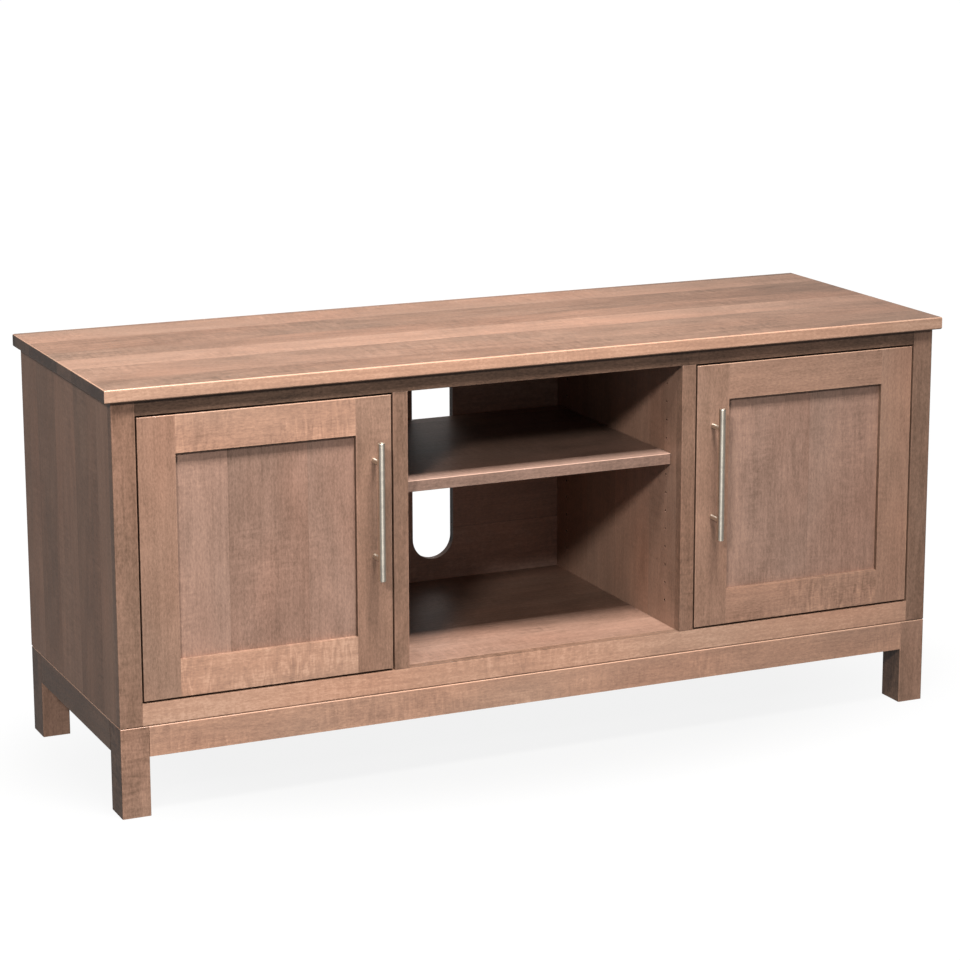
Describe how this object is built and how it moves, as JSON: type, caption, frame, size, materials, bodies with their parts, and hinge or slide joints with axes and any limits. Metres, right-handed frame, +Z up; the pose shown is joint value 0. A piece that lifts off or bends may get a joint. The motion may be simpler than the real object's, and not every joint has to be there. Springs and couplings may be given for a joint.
{
  "type": "media console cabinet",
  "caption": "Low wooden television cabinet on legs, with an open centre bay and sliding shelf between framed doors that swing on concealed hinges.",
  "frame": {"origin": "on the floor, at the middle of the box around the whole object, door pulls included", "axes": "+X along the front towards the right-hand end for a viewer standing in front, +Y from the front to the back, +Z up"},
  "size_m": [1.524, 0.553, 0.702],
  "materials": {
    "top_wood": "brown stain under satin lacquer, glued boards",
    "case_wood": "brown stain under satin lacquer",
    "rail_wood": "brown stain under satin lacquer, curly figure",
    "dark_wood": "brown stain under satin lacquer",
    "inner_wood": "brown stain under satin lacquer",
    "nickel": "brushed nickel",
    "steel": "zinc plated",
    "plastic": "matte"
  },
  "bodies": {
    "cabinet": {"top_panel": "top_wood", "left_side_panel": "dark_wood", "right_side_panel": "dark_wood", "left_partition": "inner_wood", "right_partition": "inner_wood", "bottom_panel": "inner_wood", "bottom_bearers": "dark_wood", "top_stretchers": "dark_wood", "left_stile": "case_wood", "right_stile": "case_wood", "left_mullion": "case_wood", "right_mullion": "case_wood", "top_rail": "case_wood", "bottom_rail": "rail_wood", "back_board_1": "inner_wood", "back_board_2": "inner_wood", "back_board_3": "inner_wood", "back_board_4": "inner_wood", "front_left_leg": "case_wood", "front_right_leg": "case_wood", "rear_left_leg": "case_wood", "rear_right_leg": "case_wood", "front_apron": "rail_wood", "rear_apron": "rail_wood", "left_apron": "rail_wood", "right_apron": "rail_wood", "base_cleats": "dark_wood", "left_shelf": "case_wood", "right_shelf": "case_wood", "shelf_wires": "steel", "hinge_arms": "nickel", "door_catches": "plastic", "case_screws": "steel", "back_screws": "steel", "hardware_screws": "steel"},
    "center_shelf": {"center_shelf": "case_wood"},
    "left_door": {"left_door_hinge_stile": "case_wood", "left_door_pull_stile": "case_wood", "left_door_top_rail": "rail_wood", "left_door_bottom_rail": "rail_wood", "left_door_panel": "case_wood", "left_door_hinge_cups": "nickel", "left_door_hinge_pins": "steel", "left_door_cup_screws": "steel", "left_door_pull_bar": "nickel", "left_door_pull_posts": "nickel", "left_door_pull_screws": "steel", "left_door_strike_plate": "steel"},
    "right_door": {"right_door_hinge_stile": "case_wood", "right_door_pull_stile": "case_wood", "right_door_top_rail": "rail_wood", "right_door_bottom_rail": "rail_wood", "right_door_panel": "case_wood", "right_door_hinge_cups": "nickel", "right_door_hinge_pins": "steel", "right_door_cup_screws": "steel", "right_door_pull_bar": "nickel", "right_door_pull_posts": "nickel", "right_door_pull_screws": "steel", "right_door_strike_plate": "steel"}
  },
  "joints": [
    {"name": "left_door_swing", "type": "hinge", "parent": "cabinet", "child": "left_door", "pos_m": [-0.6915, -0.2285, 0.4215], "axis": [0, 0, -1], "range_deg": [0, 105]},
    {"name": "right_door_swing", "type": "hinge", "parent": "cabinet", "child": "right_door", "pos_m": [0.6915, -0.2285, 0.4215], "axis": [0, 0, 1], "range_deg": [0, 105]},
    {"name": "center_shelf_slide", "type": "slide", "parent": "cabinet", "child": "center_shelf", "axis": [0, -1, 0], "range_m": [0, 0.12]}
  ]
}
